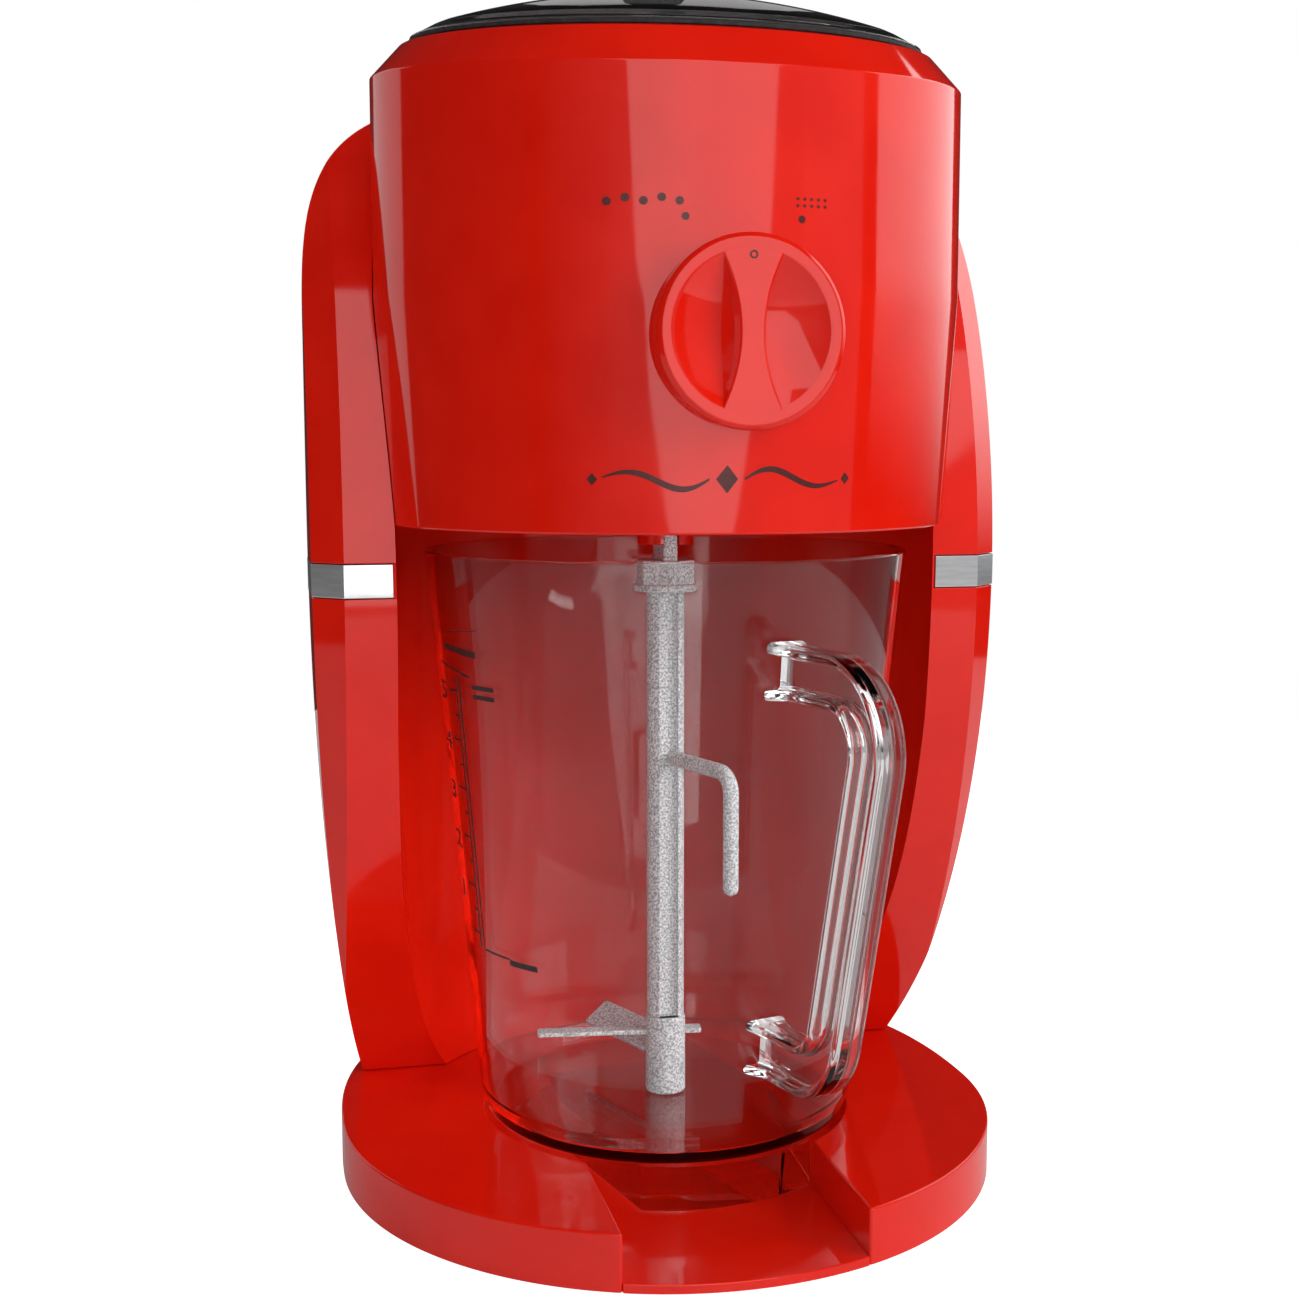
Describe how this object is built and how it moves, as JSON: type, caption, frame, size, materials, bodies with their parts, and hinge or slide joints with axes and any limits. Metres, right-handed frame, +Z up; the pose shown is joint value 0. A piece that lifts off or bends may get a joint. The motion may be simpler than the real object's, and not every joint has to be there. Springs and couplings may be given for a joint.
{
  "type": "shaved ice machine",
  "caption": "Countertop ice shaver: motor column and head drum over a round base, grain knob, lift-off lid, clear pitcher with a driven stirrer.",
  "frame": {"origin": "on the surface the machine stands on, on the vertical axis of the head drum, pitcher and stirrer, which is the middle of the outline in plan", "axes": "+Z up, +X to the right seen from the front, +Y from the front of the machine towards its rear"},
  "size_m": [0.2492, 0.279, 0.4136],
  "materials": {
    "red_shell": "high-gloss moulded red",
    "silver": "plated band",
    "clear_plastic": "clear polished plastic with a grey tint",
    "smoked_plastic": "smoked transparent plastic",
    "grey_nylon": "fine-grained pale grey moulding",
    "dark_plastic": "lightly textured black",
    "white_plastic": "satin white moulding",
    "rubber": "matte black",
    "steel": "turned and ground",
    "zinc": "zinc-plated",
    "brass": "sintered bronze"
  },
  "bodies": {
    "machine": {"base_shell": "red_shell", "base_bottom_cover": "dark_plastic", "foot_front_left": "rubber", "foot_front_right": "rubber", "foot_rear_left": "rubber", "foot_rear_right": "rubber", "base_screw_left": "zinc", "base_screw_right": "zinc", "base_screw_rear_left": "zinc", "base_screw_rear_right": "zinc", "column_shell_lower": "red_shell", "silver_band": "silver", "column_shell_upper": "red_shell", "rear_cover": "red_shell", "cord_grommet": "rubber", "switch_bezel": "dark_plastic", "switch_pivot_pin": "steel", "head_shell": "red_shell", "head_bottom_cover": "red_shell", "knob_bush": "white_plastic", "ice_hopper": "white_plastic", "discharge_chute": "white_plastic", "guide_post_left": "steel", "guide_post_right": "steel", "spindle_bearing_lower": "brass", "spindle_bearing_upper": "brass", "drive_belt": "rubber", "motor_can": "zinc", "motor_end_cap": "dark_plastic", "motor_bracket": "zinc", "motor_screw_left": "zinc", "motor_screw_right": "zinc"},
    "grain_control": {"grain_knob": "red_shell", "knob_shaft": "steel", "adjusting_cam": "white_plastic"},
    "blade_slide": {"blade_carrier": "white_plastic", "shaving_blade": "steel"},
    "spindle": {"drive_coupling": "red_shell", "drive_spindle": "steel", "pulley_large": "white_plastic", "ice_impeller": "white_plastic", "impeller_nut": "zinc"},
    "rotor": {"rotor_shaft": "steel", "pulley_small": "brass", "cooling_fan": "dark_plastic"},
    "pitcher": {"pitcher_jug": "clear_plastic", "pitcher_foot_key": "clear_plastic", "stirrer_pivot_pin": "steel", "pitcher_handle": "clear_plastic"},
    "stirrer": {"stirrer_shaft": "grey_nylon", "stirrer_hub": "grey_nylon", "stirrer_hook": "grey_nylon", "stirrer_paddle": "grey_nylon", "stirrer_bar": "grey_nylon"},
    "lid": {"lid_dome": "smoked_plastic", "lid_seal": "rubber", "lid_post": "dark_plastic"},
    "rocker": {"switch_rocker": "dark_plastic"}
  },
  "joints": [
    {"name": "knob_turn", "type": "hinge", "parent": "machine", "child": "grain_control", "pos_m": [0, -0.1, 0.293], "axis": [0, 1, 0], "range_deg": [-27, 27]},
    {"name": "blade_lift", "type": "slide", "parent": "machine", "child": "blade_slide", "axis": [0, 0, 1], "range_m": [-0.0038, 0.0038]},
    {"name": "spindle_spin", "type": "hinge", "parent": "machine", "child": "spindle", "pos_m": [0, 0, 0.25], "axis": [0, 0, 1], "continuous": true},
    {"name": "rotor_spin", "type": "hinge", "parent": "machine", "child": "rotor", "pos_m": [0, 0.1175, 0.25], "axis": [0, 0, 1], "continuous": true},
    {"name": "pitcher_out", "type": "slide", "parent": "machine", "child": "pitcher", "axis": [0, -1, 0], "range_m": [0, 0.25]},
    {"name": "stirrer_spin", "type": "hinge", "parent": "pitcher", "child": "stirrer", "pos_m": [0, 0, 0.03], "axis": [0, 0, 1], "continuous": true},
    {"name": "lid_lift", "type": "slide", "parent": "machine", "child": "lid", "axis": [0, 0, 1], "range_m": [0, 0.08]},
    {"name": "rocker_tilt", "type": "hinge", "parent": "machine", "child": "rocker", "pos_m": [0, 0.1336, 0.084], "axis": [1, 0, 0], "range_deg": [0, 14]}
  ],
  "couplings": [
    {"joint": "blade_lift", "follows": "knob_turn", "m_per_rad": 0.008},
    {"joint": "spindle_spin", "follows": "rotor_spin", "ratio": 0.27613},
    {"joint": "stirrer_spin", "follows": "rotor_spin", "ratio": 0.27613}
  ]
}
